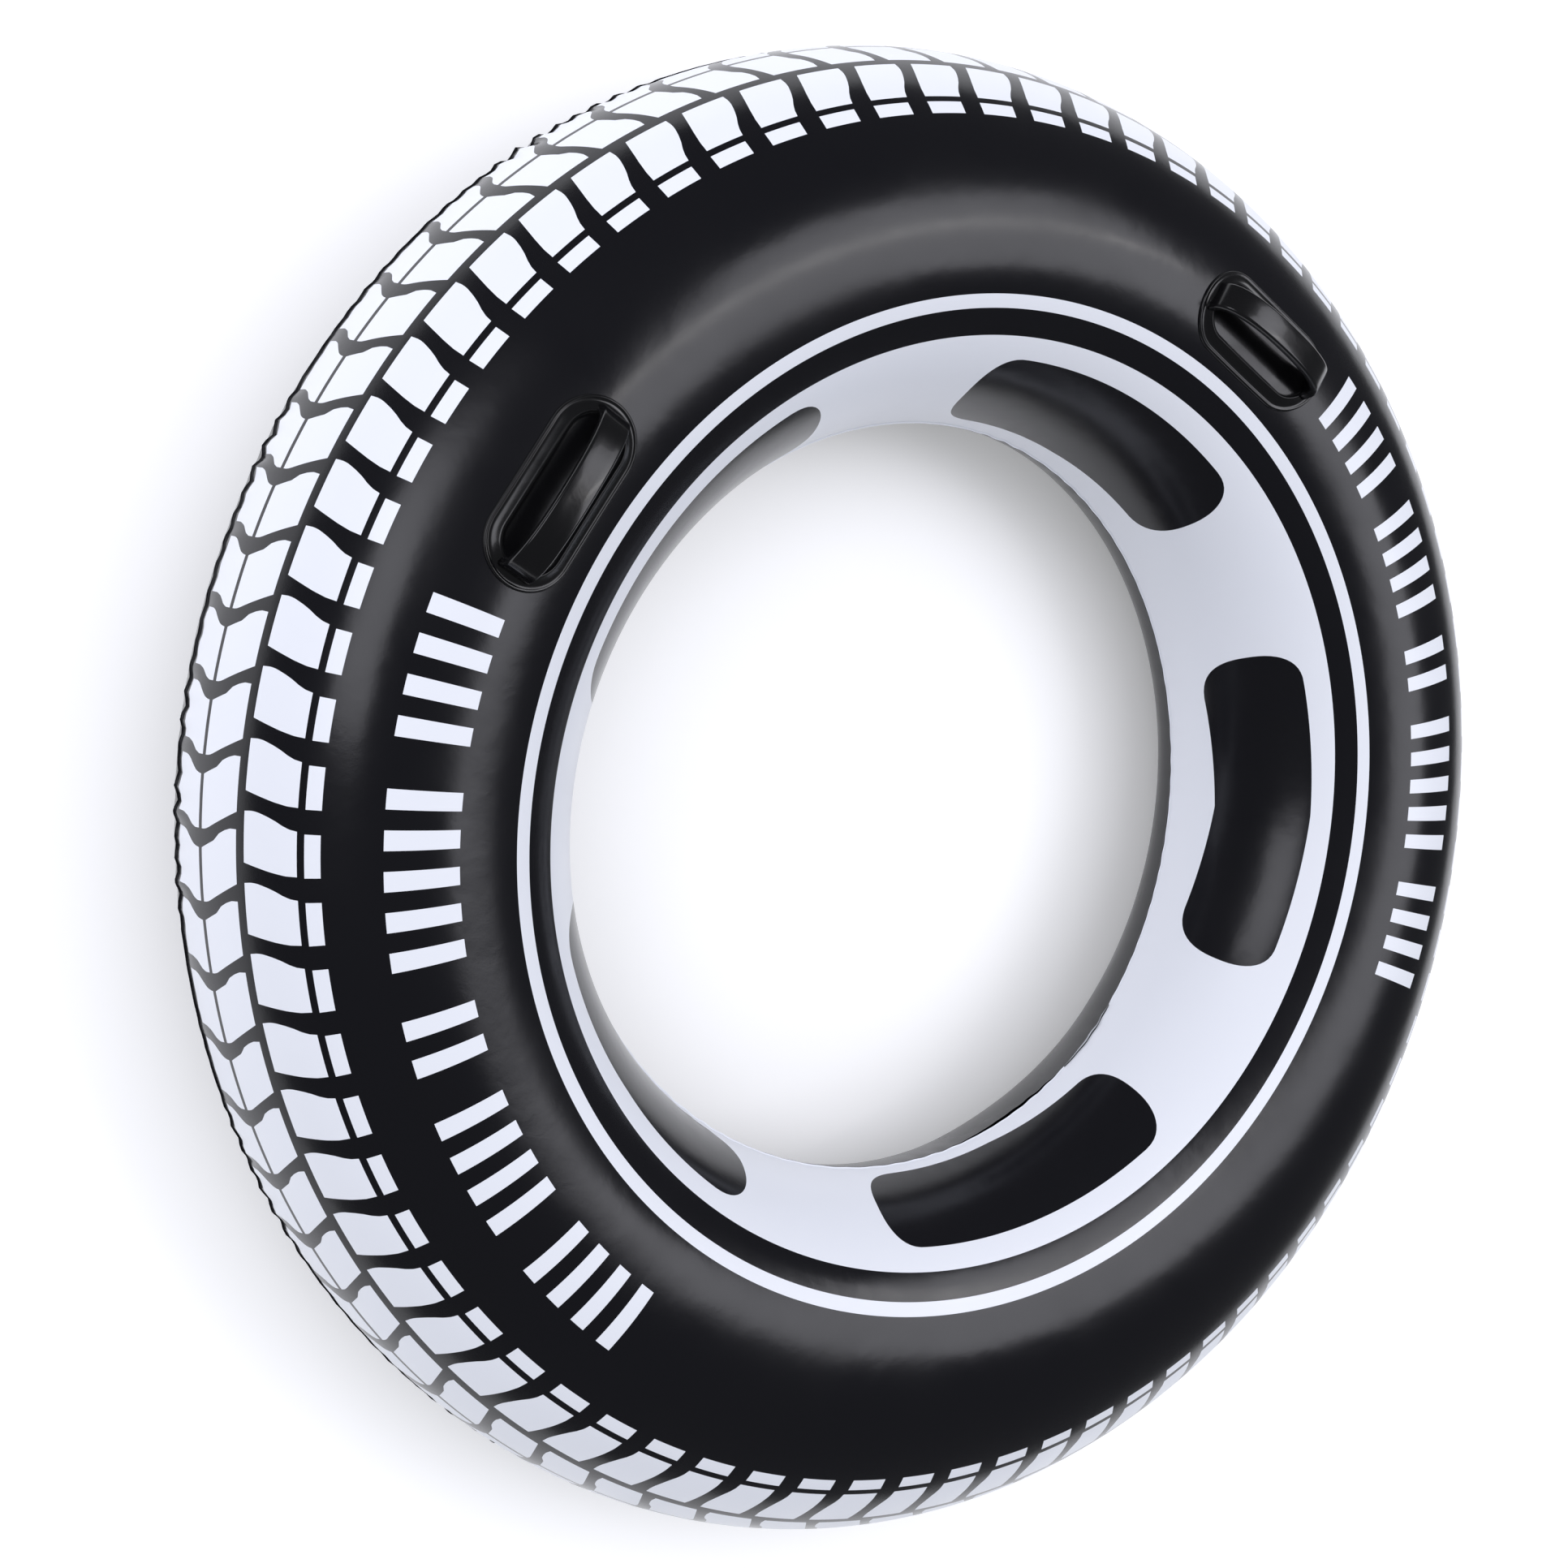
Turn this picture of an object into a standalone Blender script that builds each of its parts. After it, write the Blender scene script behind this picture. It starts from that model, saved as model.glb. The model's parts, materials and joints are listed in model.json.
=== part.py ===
"""Blow-up swim ring printed like a car tyre, with two moulded grab handles and a push-in air valve.

Metres, +Z up. The ring lies flat on Z = 0 with its printed face up. The ring's axis is Z, and +Y
points midway between the two handles.
"""

import math

import bmesh
import bpy
from mathutils import Matrix, Vector

# Ring
RING_RADIUS = 0.592  # axis to the tube's outermost line
HOLE_RADIUS = 0.305  # axis to the inner seam
FREE_SHARE = 0.666  # of the film, from the outer seam, that air pressure alone shapes
WALL_LEAN = math.radians(84)  # slope of the film where it reaches the inner seam
WALL_TURN = 0.70  # less turns the wall round the hole down sooner
FILM = 0.0004  # thickness of the vinyl film
SEAM_GAP = 0.0003  # between the two films where they are welded edge to edge
OUTER_MARGIN = 0.003  # weld margin that stands out of the outer seam
INNER_MARGIN = 0.002  # weld margin that stands into the hole
FLAT_DEPTH = 0.0008  # how much the crest is pressed flat where the ring lies on it
RING_STEPS = 60
OUTER_STEPS = 5  # facets between the outer seam and the crest
INNER_STEPS = 5  # facets between the crest and the inner seam

# Handles
HANDLE_INSET = 0.0139  # from the crest's middle towards the axis, to a handle's middle
HANDLE_SPREAD = math.radians(44)  # from +Y to a handle's middle
BASE_LENGTH = 0.142
BASE_WIDTH = 0.066
BASE_THICKNESS = 0.0020
BASE_MARGIN = 0.0055  # flat welded edge outside the rim
RIM_WIDTH = 0.0040
RIM_HEIGHT = 0.0022  # above the plate
GRIP_WIDTH = 0.021
GRIP_RISE = 0.032  # from the plate's underside to the grip's top
GRIP_THICKNESS = 0.0070
GRIP_EDGE = 0.0022  # rounding of the grip's long edges
GRIP_SQUARENESS = 0.85  # 1 spreads the arch like an ellipse, less makes its sides steeper
GRIP_FULLNESS = 0.7  # 1 gives an elliptical arch, less makes its top flatter
GRIP_CORNERS = 25  # along the arch, from foot to foot
WELD_GAP = 0.0003  # between the ring and what is welded on it

# Valve
VALVE_ANGLE = math.radians(-75)  # about Z, from +X; the valve sits on the facet found there
VALVE_FACET = 2  # facets between the outer seam and the valve's own
FLANGE_RADIUS = 0.0180
FLANGE_THICKNESS = 0.0012
MOUTH_RADIUS = 0.0115  # of the flange's opening
MOUTH_LIP = 0.0012  # lip round the opening
MOUTH_LIP_HEIGHT = 0.0012
NECK_RADIUS = 0.0080
NECK_WALL = 0.0026
NECK_LENGTH = 0.0170
NECK_SUNK = 0.0150  # how far the neck's inner end sits below the flange's face when pushed in
SLEEVE_WALL = 0.0006
SLEEVE_GAP = 0.0003
PLUG_CLEARANCE = 0.0002
PLUG_DEPTH = 0.0080
PLUG_CHAMFER = 0.0010
CAP_RADIUS = 0.0075
CAP_THICKNESS = 0.0016
TAB_LENGTH = 0.0045
TAB_WIDTH = 0.0060
TAB_THICKNESS = 0.0011
TAB_ROOT = 0.0010  # how far the tab runs into the cap
TETHER_WIDTH = 0.0030
TETHER_THICKNESS = 0.0008
TETHER_INSET = 0.0010  # of the tether's end from the flange's rim
FLAP_THICKNESS = 0.0006
FLAP_OVERLAP = 0.0012  # of the flap past the bore
FLAP_GAP = 0.0002
ROUND_STEPS = 32
STADIUM_STEPS = 12  # in each rounded end of a handle

CUT_PAST = 0.010  # how far a cutter runs past what it cuts


def clear_scene():
    for ob in list(bpy.data.objects):
        bpy.data.objects.remove(ob, do_unlink=True)
    for collection in list(bpy.data.collections):
        bpy.data.collections.remove(collection)


def new_collection(name):
    collection = bpy.data.collections.new(name)
    bpy.context.scene.collection.children.link(collection)
    return collection


def vinyl(name, color, roughness):
    material = bpy.data.materials.new(name)
    material.use_nodes = True
    shader = material.node_tree.nodes["Principled BSDF"]
    shader.inputs["Base Color"].default_value = (*color, 1.0)
    shader.inputs["Roughness"].default_value = roughness
    shader.inputs["Metallic"].default_value = 0.0
    return material


def add_object(name, mesh, collection, material=None):
    ob = bpy.data.objects.new(name, mesh)
    collection.objects.link(ob)
    if material is not None:
        mesh.materials.append(material)
    return ob


def as_tool(ob):
    """Marks an object as a cutter or a guide, which is not a piece of the ring."""
    ob.hide_render = True
    ob.display_type = "WIRE"
    return ob


# The tube's cross-section


def film_curve(bend, outer, inner, steps=600):
    """Points (radius, height) of the upper film from the outer seam inwards, until it is back at height 0.

    Air pressure bends the film in proportion to its distance from the ring's axis.
    """
    length = 2.5 * (outer - inner)
    ds = length / steps
    radius, height, lean = outer, 0.0, 0.0
    points = [(radius, height)]
    for _ in range(steps):
        middle = lean + 0.5 * bend * radius * ds
        lean += bend * radius * ds
        radius -= math.sin(middle) * ds
        height += math.cos(middle) * ds
        if height < 0.0:
            last_radius, last_height = points[-1]
            share = last_height / (last_height - height)
            points.append((last_radius + share * (radius - last_radius), 0.0))
            break
        points.append((radius, height))
    return points


def blown_up_film(outer, inner):
    """The film curve whose inner end lands on the inner seam."""
    low = 1.0 / (outer * (outer - inner))
    high = 8.0 * low
    for _ in range(50):
        bend = 0.5 * (low + high)
        if film_curve(bend, outer, inner)[-1][0] < inner:
            low = bend
        else:
            high = bend
    points = film_curve(high, outer, inner)
    points[-1] = (inner, 0.0)
    return points


def with_wall(points, ds=0.0005):
    """The same film, pulled down to a steeper wall round the hole, from its free part inwards."""
    total = sum(math.dist(p, q) for p, q in zip(points, points[1:]))
    gone, i = 0.0, 0
    while gone < FREE_SHARE * total:
        gone += math.dist(points[i], points[i + 1])
        i += 1
    radius, height = points[i]
    start = height
    lean = math.atan2(points[i - 1][1] - height, points[i - 1][0] - radius)
    wall = list(points[: i + 1])
    while height > 0.0:
        slope = lean + (WALL_LEAN - lean) * (1.0 - height / start) ** WALL_TURN
        step = min(ds, height / math.sin(slope))
        radius -= math.cos(slope) * step
        height -= math.sin(slope) * step
        if height < 1e-9:
            height = 0.0
        wall.append((radius, height))
    return wall


def film_section():
    """The film curve from the outer seam to the inner seam at HOLE_RADIUS."""
    low, high = 0.5 * HOLE_RADIUS, HOLE_RADIUS
    for _ in range(30):
        inner = 0.5 * (low + high)
        if with_wall(blown_up_film(RING_RADIUS, inner))[-1][0] < HOLE_RADIUS:
            low = inner
        else:
            high = inner
    line = with_wall(blown_up_film(RING_RADIUS, inner))
    line[-1] = (HOLE_RADIUS, 0.0)
    return line


def spaced(points, count):
    """The same line as count + 1 points at equal distances."""
    lengths = [0.0]
    for (r0, z0), (r1, z1) in zip(points, points[1:]):
        lengths.append(lengths[-1] + math.hypot(r1 - r0, z1 - z0))
    result = []
    i = 0
    for k in range(count + 1):
        target = lengths[-1] * k / count
        while i < len(points) - 2 and lengths[i + 1] < target:
            i += 1
        share = (target - lengths[i]) / (lengths[i + 1] - lengths[i])
        (r0, z0), (r1, z1) = points[i], points[i + 1]
        result.append((r0 + share * (r1 - r0), z0 + share * (z1 - z0)))
    return result


def tube_section():
    """Facet corners from the outer seam over the flat crest to the inner seam."""
    curve = film_section()
    top = max(range(len(curve)), key=lambda i: curve[i][1])
    flat = curve[top][1] - FLAT_DEPTH
    outer_part = [p for p in curve[:top] if p[1] < flat]
    inner_part = [p for p in curve[top:] if p[1] < flat]
    outer_part.append((crossing(curve[: top + 1], flat), flat))
    inner_part.insert(0, (crossing(curve[top:], flat), flat))
    return spaced(outer_part, OUTER_STEPS) + spaced(inner_part, INNER_STEPS)


def crossing(points, height):
    """The radius where the line passes the given height."""
    for (r0, z0), (r1, z1) in zip(points, points[1:]):
        if min(z0, z1) <= height <= max(z0, z1) and z0 != z1:
            return r0 + (r1 - r0) * (height - z0) / (z1 - z0)
    raise ValueError("the film never reaches this height")


SECTION = tube_section()
CREST_HEIGHT = max(z for _, z in SECTION)
FILM_BASE = 0.5 * SEAM_GAP + FILM  # from the seam plane to each film's outer face there
MID_HEIGHT = CREST_HEIGHT + FILM_BASE  # of the seam plane above the ground
CREST_RADIUS = 0.5 * (SECTION[OUTER_STEPS][0] + SECTION[OUTER_STEPS + 1][0])
HANDLE_RADIUS = CREST_RADIUS - HANDLE_INSET  # axis to a handle's middle


def turned(name, profile, collection, material=None, steps=ROUND_STEPS, angle=2.0 * math.pi):
    """A profile of (radius, height) points turned about the object's own Z.

    A profile whose last point repeats its first is closed.
    """
    mesh = bpy.data.meshes.new(name)
    closed = profile[0] == profile[-1]
    if closed:
        profile = profile[:-1]
    edges = [(i, i + 1) for i in range(len(profile) - 1)]
    if closed:
        edges.append((len(profile) - 1, 0))
    mesh.from_pydata([(r, 0.0, z) for r, z in profile], edges, [])
    ob = add_object(name, mesh, collection, material)
    screw = ob.modifiers.new("turn", "SCREW")
    screw.axis = "Z"
    screw.angle = angle
    screw.steps = steps
    screw.render_steps = steps
    screw.use_merge_vertices = angle > 6.28
    screw.merge_threshold = 0.00001
    screw.use_smooth_shade = True
    return ob


def thicken(ob, thickness, offset):
    solid = ob.modifiers.new("wall", "SOLIDIFY")
    solid.thickness = thickness
    solid.offset = offset
    solid.use_even_offset = True
    return solid


def boolean(ob, operation, tool):
    modifier = ob.modifiers.new(operation.lower(), "BOOLEAN")
    modifier.operation = operation
    modifier.solver = "EXACT"
    modifier.object = tool
    return modifier


# Ring


def film_profile(side):
    """One film with its weld margins; side is 1 for the printed face and -1 for the back."""
    points = [(RING_RADIUS + OUTER_MARGIN, 0.0)]
    points += SECTION
    points.append((HOLE_RADIUS - INNER_MARGIN, 0.0))
    placed = [(r, MID_HEIGHT + side * (z + FILM_BASE)) for r, z in points]
    return placed[::-1] if side > 0 else placed


def make_front_sheet(parts, material):
    ob = turned("front_sheet", film_profile(1), parts, material, RING_STEPS)
    thicken(ob, FILM, -1.0)
    return ob


def make_back_sheet(parts, tools, material, place):
    ob = turned("back_sheet", film_profile(-1), parts, material, RING_STEPS)
    thicken(ob, FILM, -1.0)
    hole = cylinder("valve_hole", MOUTH_RADIUS + MOUTH_LIP, CUT_PAST * 2.0, tools)
    hole.matrix_world = place
    as_tool(hole)
    boolean(ob, "DIFFERENCE", hole)
    return ob


def cylinder(name, radius, length, collection, material=None):
    """A cylinder along its own Z, centred on its origin."""
    mesh = bpy.data.meshes.new(name)
    bm = bmesh.new()
    bmesh.ops.create_cone(
        bm, cap_ends=True, segments=ROUND_STEPS, radius1=radius, radius2=radius, depth=length
    )
    bm.to_mesh(mesh)
    bm.free()
    return add_object(name, mesh, collection, material)


# Handles


def stadium(name, length, width, height, collection):
    """A round-ended bar: long along X, standing on its origin along Z."""
    radius = 0.5 * width
    reach = 0.5 * length - radius
    corners = []
    for centre, start in ((reach, -90.0), (-reach, 90.0)):
        for i in range(STADIUM_STEPS + 1):
            turn = math.radians(start + 180.0 * i / STADIUM_STEPS)
            corners.append((centre + radius * math.cos(turn), radius * math.sin(turn)))
    bm = bmesh.new()
    face = bm.faces.new([bm.verts.new((x, y, -height)) for x, y in corners])
    grown = bmesh.ops.extrude_face_region(bm, geom=[face])
    top = [v for v in grown["geom"] if isinstance(v, bmesh.types.BMVert)]
    bmesh.ops.translate(bm, verts=top, vec=(0.0, 0.0, 2.0 * height))
    bmesh.ops.recalc_face_normals(bm, faces=bm.faces)
    mesh = bpy.data.meshes.new(name)
    bm.to_mesh(mesh)
    bm.free()
    return add_object(name, mesh, collection)


def surface_height(radius):
    """Height of the printed face at this distance from the axis, on the facets."""
    points = [(r, MID_HEIGHT + z + FILM_BASE) for r, z in SECTION]
    return height_between(points, radius)


def height_between(points, radius):
    for (r0, z0), (r1, z1) in zip(points, points[1:]):
        if r1 <= radius <= r0:
            return z0 + (z1 - z0) * (radius - r0) / (r1 - r0)
    raise ValueError("no film at this radius")


def handle_place(angle):
    """Frame on the printed face: X along the handle, Y towards the axis, Z straight up."""
    place = Matrix.Rotation(angle, 4, "Z")
    centre = Vector((HANDLE_RADIUS, 0.0, surface_height(HANDLE_RADIUS)))
    turn = Matrix.Rotation(0.5 * math.pi, 4, "Z")
    return place @ Matrix.Translation(centre) @ turn


def skin_patch(name, angle, low, high, collection):
    """A piece of shell over the printed face, from low to high above it, wide enough for a handle."""
    step = 2.0 * math.pi / RING_STEPS
    half = math.asin(0.5 * BASE_LENGTH / (HANDLE_RADIUS - 0.5 * BASE_WIDTH)) + step
    first = math.floor((angle - half) / step)
    last = math.ceil((angle + half) / step)
    section = [(r, MID_HEIGHT + z + FILM_BASE) for r, z in SECTION[1:-1]]
    ob = turned(name, section[::-1], collection, None, last - first, (last - first) * step)
    ob.rotation_euler.z = first * step
    thickness = high - low
    thicken(ob, thickness, 1.0 + 2.0 * low / thickness)
    return ob


def arch(half, rise, foot):
    """Corners (along, up) of one side of the arch, from foot to foot."""
    corners = []
    for i in range(GRIP_CORNERS):
        turn = math.pi * i / (GRIP_CORNERS - 1)
        lean = math.cos(turn)
        along = half * math.copysign(abs(lean) ** GRIP_SQUARENESS, lean)
        corners.append((along, foot + (rise - foot) * max(0.0, math.sin(turn)) ** GRIP_FULLNESS))
    return corners


def grip_outline():
    """Side view of the grip: an arch whose feet end in the rim."""
    half = 0.5 * BASE_LENGTH - BASE_MARGIN - 0.5 * RIM_WIDTH
    foot = 0.6 * BASE_THICKNESS
    upper = arch(half, GRIP_RISE, foot)
    lower = arch(half - GRIP_THICKNESS, GRIP_RISE - GRIP_THICKNESS, foot)
    return upper + lower[::-1]


def make_grip(name, place, tools):
    corners = grip_outline()
    bm = bmesh.new()
    front = [bm.verts.new((x, -0.5 * GRIP_WIDTH, z)) for x, z in corners]
    back = [bm.verts.new((x, 0.5 * GRIP_WIDTH, z)) for x, z in corners]
    count = len(corners)
    half = count // 2
    for i in range(half - 1):
        j = count - 1 - i
        bm.faces.new((front[i], front[i + 1], front[j - 1], front[j]))
        bm.faces.new((back[i], back[j], back[j - 1], back[i + 1]))
    for i in range(count):
        k = (i + 1) % count
        bm.faces.new((front[k], front[i], back[i], back[k]))
    bmesh.ops.recalc_face_normals(bm, faces=bm.faces)
    mesh = bpy.data.meshes.new(name)
    bm.to_mesh(mesh)
    bm.free()
    ob = add_object(name, mesh, tools)
    round_edges = ob.modifiers.new("round", "BEVEL")
    round_edges.width = GRIP_EDGE
    round_edges.segments = 2
    round_edges.limit_method = "ANGLE"
    round_edges.angle_limit = math.radians(60)
    ob.matrix_world = place
    return as_tool(ob)


def make_handle(name, angle, parts, tools, material):
    """A moulded handle: a plate welded to the printed face, a raised rim and an arched grip."""
    place = handle_place(angle)
    plate_top = WELD_GAP + BASE_THICKNESS
    ob = skin_patch(name, angle, WELD_GAP, plate_top, parts)
    ob.data.materials.append(material)
    outline = stadium(name + "_outline", BASE_LENGTH, BASE_WIDTH, BASE_LENGTH, tools)
    outline.matrix_world = place
    boolean(ob, "INTERSECT", as_tool(outline))
    rim_low = WELD_GAP + 0.5 * BASE_THICKNESS
    rim = skin_patch(name + "_rim", angle, rim_low, plate_top + RIM_HEIGHT, tools)
    shrink = 2.0 * BASE_MARGIN
    rim_out = stadium(
        name + "_rim_out", BASE_LENGTH - shrink, BASE_WIDTH - shrink, BASE_LENGTH, tools
    )
    rim_out.matrix_world = place
    boolean(rim, "INTERSECT", as_tool(rim_out))
    shrink += 2.0 * RIM_WIDTH
    rim_in = stadium(
        name + "_rim_in", BASE_LENGTH - shrink, BASE_WIDTH - shrink, BASE_LENGTH, tools
    )
    rim_in.matrix_world = place
    boolean(rim, "DIFFERENCE", as_tool(rim_in))
    boolean(ob, "UNION", as_tool(rim))
    boolean(ob, "UNION", make_grip(name + "_grip", place, tools))
    return ob


# Valve


def valve_place():
    """Frame on the middle of one facet of the back sheet: Z points out of the tube, Y round the ring."""
    (r0, z0), (r1, z1) = SECTION[VALVE_FACET], SECTION[VALVE_FACET + 1]
    step = 2.0 * math.pi / RING_STEPS
    turn = (math.floor(VALVE_ANGLE / step) + 0.5) * step
    shrink = math.cos(0.5 * step)
    facet_radius = 0.5 * (r0 + r1) * shrink
    height = MID_HEIGHT - 0.5 * (z0 + z1) - FILM_BASE
    slope = math.atan2(z1 - z0, (r0 - r1) * shrink)
    outward = Vector((math.sin(slope), 0.0, -math.cos(slope)))
    across = Vector((0.0, 1.0, 0.0))
    along = across.cross(outward)
    frame = Matrix((along, across, outward)).transposed().to_4x4()
    centre = Vector((facet_radius, 0.0, height)) + outward * WELD_GAP
    return Matrix.Rotation(turn, 4, "Z") @ Matrix.Translation(centre) @ frame


def make_flange(parts, material, place):
    lip = MOUTH_RADIUS + MOUTH_LIP
    top = FLANGE_THICKNESS + MOUTH_LIP_HEIGHT
    profile = [
        (MOUTH_RADIUS, 0.0),
        (MOUTH_RADIUS, top),
        (lip, top),
        (lip, FLANGE_THICKNESS),
        (FLANGE_RADIUS, 0.5 * FLANGE_THICKNESS),
        (FLANGE_RADIUS, 0.0),
        (MOUTH_RADIUS, 0.0),
    ]
    ob = turned("valve_flange", profile, parts, material)
    ob.matrix_world = place
    return ob


def make_neck(parts, material, place):
    """The neck's origin is on its own axis, at the flange's outer face."""
    bore = NECK_RADIUS - NECK_WALL
    low = FLANGE_THICKNESS - NECK_SUNK
    high = low + NECK_LENGTH
    profile = [
        (bore, low),
        (bore, high),
        (NECK_RADIUS, high),
        (NECK_RADIUS, low),
        (bore, low),
    ]
    ob = turned("valve_neck", profile, parts, material)
    ob.matrix_world = place
    return ob


def make_sleeve(parts, material, place):
    """Soft sleeve between the neck's inner end and the flange's mouth; it stretches with the neck."""
    inner = NECK_RADIUS + SLEEVE_GAP
    mouth = MOUTH_RADIUS - SLEEVE_GAP
    low = FLANGE_THICKNESS - NECK_SUNK
    high = FLANGE_THICKNESS
    profile = [
        (inner, low),
        (inner, low + SLEEVE_WALL),
        (mouth - SLEEVE_WALL, high - 4.0 * SLEEVE_WALL),
        (mouth - SLEEVE_WALL, high),
        (mouth, high),
        (mouth, high - 4.0 * SLEEVE_WALL),
        (inner + SLEEVE_WALL, low),
        (inner, low),
    ]
    ob = turned("valve_sleeve", profile, parts, material)
    ob.matrix_world = place
    return ob


def make_plug(parts, tools, material, place):
    """Push-in plug with a round cap and a finger tab."""
    seat = FLANGE_THICKNESS - NECK_SUNK + NECK_LENGTH + PLUG_CLEARANCE
    shank = NECK_RADIUS - NECK_WALL - PLUG_CLEARANCE
    profile = [
        (0.0, seat + CAP_THICKNESS),
        (CAP_RADIUS, seat + CAP_THICKNESS),
        (CAP_RADIUS, seat),
        (shank, seat),
        (shank, seat - PLUG_DEPTH + PLUG_CHAMFER),
        (shank - PLUG_CHAMFER, seat - PLUG_DEPTH),
        (0.0, seat - PLUG_DEPTH),
    ]
    ob = turned("valve_plug", profile, parts, material)
    ob.matrix_world = place
    tab = box("plug_tab", (TAB_LENGTH + TAB_ROOT, TAB_WIDTH, TAB_THICKNESS), tools)
    middle = CAP_RADIUS + 0.5 * (TAB_LENGTH - TAB_ROOT)
    tab.matrix_world = place @ Matrix.Translation((middle, 0.0, seat + 0.5 * CAP_THICKNESS))
    boolean(ob, "UNION", as_tool(tab))
    return ob


def box(name, size, collection, material=None):
    mesh = bpy.data.meshes.new(name)
    bm = bmesh.new()
    bmesh.ops.create_cube(bm, size=1.0)
    bmesh.ops.scale(bm, vec=size, verts=bm.verts)
    bm.to_mesh(mesh)
    bm.free()
    return add_object(name, mesh, collection, material)


def make_tether(parts, material, place):
    """Short strap from the plug's cap, opposite its tab, to the flange."""
    seat = FLANGE_THICKNESS - NECK_SUNK + NECK_LENGTH + PLUG_CLEARANCE
    start = CAP_RADIUS + WELD_GAP
    end = FLANGE_RADIUS - TETHER_INSET
    lip_top = FLANGE_THICKNESS + MOUTH_LIP_HEIGHT + WELD_GAP
    down = FLANGE_THICKNESS + WELD_GAP
    lip = MOUTH_RADIUS + MOUTH_LIP + WELD_GAP
    upper = max(seat, lip_top)
    thick = TETHER_THICKNESS
    outline = [
        (start, upper + thick),
        (lip + thick, upper + thick),
        (end, down + thick),
        (end, down),
        (lip + 0.6 * thick, down),
        (lip, upper),
        (start, upper),
    ]
    mesh = bpy.data.meshes.new("valve_tether")
    bm = bmesh.new()
    half = 0.5 * TETHER_WIDTH
    face = bm.faces.new([bm.verts.new((-x, -half, z)) for x, z in outline])
    grown = bmesh.ops.extrude_face_region(bm, geom=[face])
    side = [v for v in grown["geom"] if isinstance(v, bmesh.types.BMVert)]
    bmesh.ops.translate(bm, verts=side, vec=(0.0, TETHER_WIDTH, 0.0))
    bmesh.ops.recalc_face_normals(bm, faces=bm.faces)
    bm.to_mesh(mesh)
    bm.free()
    ob = add_object("valve_tether", mesh, parts, material)
    ob.matrix_world = place
    return ob


def make_flap(parts, material, place):
    """Non-return flap under the neck's inner end; its origin is on its hinge line."""
    radius = NECK_RADIUS - NECK_WALL + FLAP_OVERLAP
    low = FLANGE_THICKNESS - NECK_SUNK - FLAP_GAP - 0.5 * FLAP_THICKNESS
    mesh = bpy.data.meshes.new("valve_flap")
    bm = bmesh.new()
    bmesh.ops.create_cone(
        bm,
        cap_ends=True,
        segments=ROUND_STEPS,
        radius1=radius,
        radius2=radius,
        depth=FLAP_THICKNESS,
        matrix=Matrix.Translation((radius, 0.0, 0.0)),
    )
    bm.to_mesh(mesh)
    bm.free()
    ob = add_object("valve_flap", mesh, parts, material)
    ob.matrix_world = place @ Matrix.Translation((-radius, 0.0, low))
    return ob


def build():
    clear_scene()
    parts = new_collection("tyre_swim_ring")
    tools = new_collection("cutters")
    film = (0.012, 0.012, 0.015)
    valve = valve_place()
    make_front_sheet(parts, vinyl("printed_vinyl", film, 0.22))
    make_back_sheet(parts, tools, vinyl("black_vinyl", film, 0.25), valve)
    quarter = 0.5 * math.pi
    moulded = vinyl("moulded_vinyl", (0.008, 0.008, 0.009), 0.12)
    make_handle("left_handle", quarter + HANDLE_SPREAD, parts, tools, moulded)
    make_handle("right_handle", quarter - HANDLE_SPREAD, parts, tools, moulded)
    clear = vinyl("valve_vinyl", (0.55, 0.58, 0.60), 0.3)
    make_flange(parts, clear, valve)
    make_sleeve(parts, clear, valve)
    make_neck(parts, clear, valve)
    make_plug(parts, tools, clear, valve)
    make_tether(parts, clear, valve)
    make_flap(parts, clear, valve)


build()
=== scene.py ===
"""The looks of a tyre-print swim ring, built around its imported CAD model.

Metres, +Z up. The front film faces up, +Y points between the two grab handles. A place on a film is
(angle round the ring, arc from the outer seam over the film towards the inner seam).
"""

import json
import math

import bmesh
import bpy
import numpy as np
from mathutils import Matrix, Vector


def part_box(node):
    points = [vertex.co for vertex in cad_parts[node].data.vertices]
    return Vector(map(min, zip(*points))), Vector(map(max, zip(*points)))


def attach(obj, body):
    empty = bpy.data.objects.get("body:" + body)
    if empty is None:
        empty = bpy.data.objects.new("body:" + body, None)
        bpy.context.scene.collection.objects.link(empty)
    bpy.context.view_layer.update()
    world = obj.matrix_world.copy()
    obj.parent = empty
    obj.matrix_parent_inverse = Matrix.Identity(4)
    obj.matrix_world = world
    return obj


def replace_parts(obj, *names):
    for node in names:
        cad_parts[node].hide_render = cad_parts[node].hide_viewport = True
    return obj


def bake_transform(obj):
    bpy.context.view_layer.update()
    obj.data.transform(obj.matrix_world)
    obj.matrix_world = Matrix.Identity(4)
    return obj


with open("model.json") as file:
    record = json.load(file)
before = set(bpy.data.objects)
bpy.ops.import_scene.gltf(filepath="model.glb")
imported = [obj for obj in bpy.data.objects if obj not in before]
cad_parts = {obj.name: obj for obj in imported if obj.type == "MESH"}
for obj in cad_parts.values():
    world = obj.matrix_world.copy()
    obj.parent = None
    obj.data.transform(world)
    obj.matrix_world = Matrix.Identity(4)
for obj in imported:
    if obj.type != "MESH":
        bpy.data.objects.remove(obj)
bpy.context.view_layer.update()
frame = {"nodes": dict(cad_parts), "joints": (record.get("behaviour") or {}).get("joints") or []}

# ------------------------------------------------------------------ sizes taken from the frame

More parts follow.
